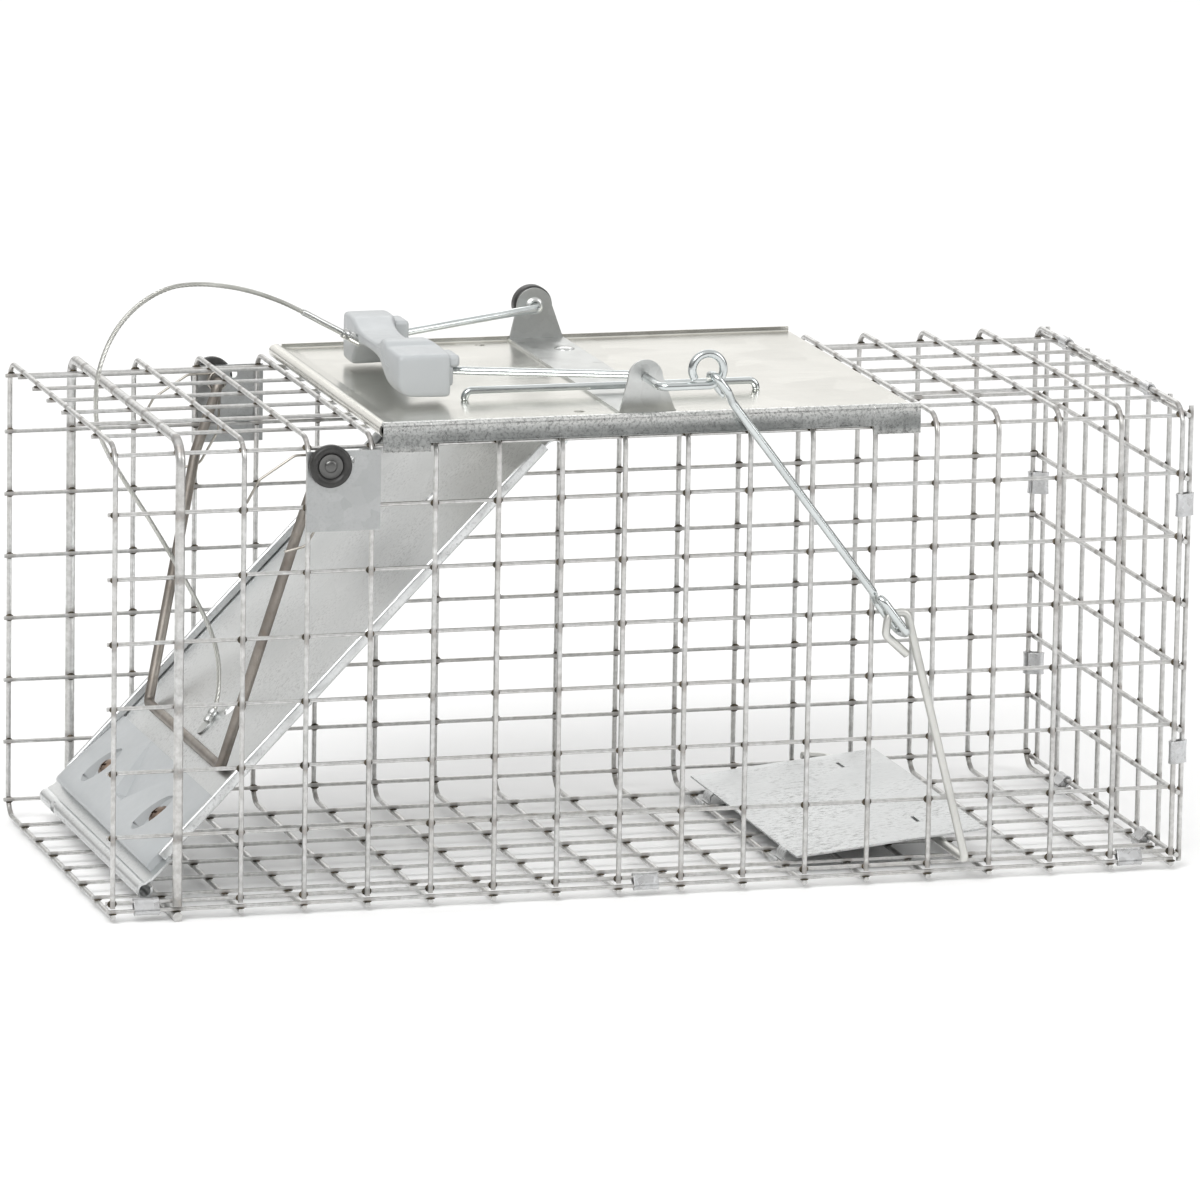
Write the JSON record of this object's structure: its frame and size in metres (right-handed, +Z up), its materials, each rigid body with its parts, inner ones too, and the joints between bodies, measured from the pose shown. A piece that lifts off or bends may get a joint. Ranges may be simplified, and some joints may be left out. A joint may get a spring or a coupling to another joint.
{
  "type": "live catch trap",
  "caption": "Welded wire live catch trap with a drop door, spring lock bar, trip pan and a lifting handle that sets and releases it.",
  "frame": {"origin": "centre of the cage's footprint, on the ground", "axes": "+X toward the closed end, -X the door end, -Y the side with the trigger rod, +Z up"},
  "size_m": [0.4403, 0.2045, 0.2319],
  "materials": {
    "galvanised_wire": "bright zinc, brown burn at the welds",
    "clip_steel": "bright zinc",
    "plate_steel": "smooth, half mirror",
    "bracket_steel": "satin",
    "rivet_steel": "satin",
    "bright_rod": "bright zinc",
    "grip_plastic": "satin, light blue grey",
    "black_cap": "satin",
    "pan_steel": "mottled zinc",
    "door_steel": "smooth zinc, faint spangle",
    "screw_brown": "dull, brown",
    "dull_bar": "dull, grey brown",
    "spring_wire": "satin",
    "cable_steel": "plaited, under a clear coat"
  },
  "bodies": {
    "cage": {"long_wires": "galvanised_wire", "hoop_wires": "galvanised_wire", "door_frame_hoop": "galvanised_wire", "rear_uprights": "galvanised_wire", "rear_crossbars": "galvanised_wire", "seam_clips": "clip_steel", "rear_clips": "clip_steel", "top_plate": "plate_steel", "handle_bracket": "bracket_steel", "bracket_rivets": "rivet_steel", "plate_rod": "bright_rod", "door_hinge_rod": "bright_rod", "door_hangers": "clip_steel", "side_plate_front": "plate_steel", "side_plate_back": "plate_steel", "spring_coils": "spring_wire"},
    "handle": {"handle_wire": "bright_rod", "handle_grip": "grip_plastic", "handle_cap": "black_cap", "cable_sleeve": "rivet_steel", "lift_cable": "cable_steel"},
    "trigger_link": {"trigger_rod": "bright_rod"},
    "pan": {"trip_pan": "pan_steel", "trip_rod": "bright_rod"},
    "door": {"door_panel": "door_steel", "striker": "grip_plastic", "striker_screws": "screw_brown", "cable_stop": "rivet_steel"},
    "lock": {"lock_bar": "dull_bar", "lock_cap_front": "black_cap", "lock_cap_back": "black_cap", "spring_arms": "spring_wire"}
  },
  "joints": [
    {"name": "handle_swing", "type": "hinge", "parent": "cage", "child": "handle", "pos_m": [-0.002, 0, 0.205], "axis": [0, 1, 0], "range_deg": [0, 140], "deforming": ["lift_cable"]},
    {"name": "trigger_rod_swing", "type": "hinge", "parent": "handle", "child": "trigger_link", "pos_m": [0.0168, -0.1016, 0.2113], "axis": [0, 1, 0], "range_deg": [-168.7, 0]},
    {"name": "pan_tilt", "type": "hinge", "parent": "cage", "child": "pan", "pos_m": [0.0635, 0, 0.0028], "axis": [0, 1, 0], "range_deg": [-11, 0]},
    {"name": "door_swing", "type": "hinge", "parent": "cage", "child": "door", "pos_m": [-0.0365, 0, 0.1824], "axis": [0, 1, 0], "range_deg": [0, 36.7]},
    {"name": "lock_bar_swing", "type": "hinge", "parent": "cage", "child": "lock", "pos_m": [-0.132, 0, 0.1776], "axis": [0, 1, 0], "range_deg": [0, 78.2]}
  ],
  "couplings": [
    {"joint": "trigger_rod_swing", "follows": "handle_swing", "ratio": -1.2037},
    {"joint": "pan_tilt", "follows": "handle_swing", "ratio": -0.07721},
    {"joint": "door_swing", "follows": "handle_swing", "ratio": 0.26071},
    {"joint": "lock_bar_swing", "follows": "handle_swing", "ratio": 0.55714}
  ]
}
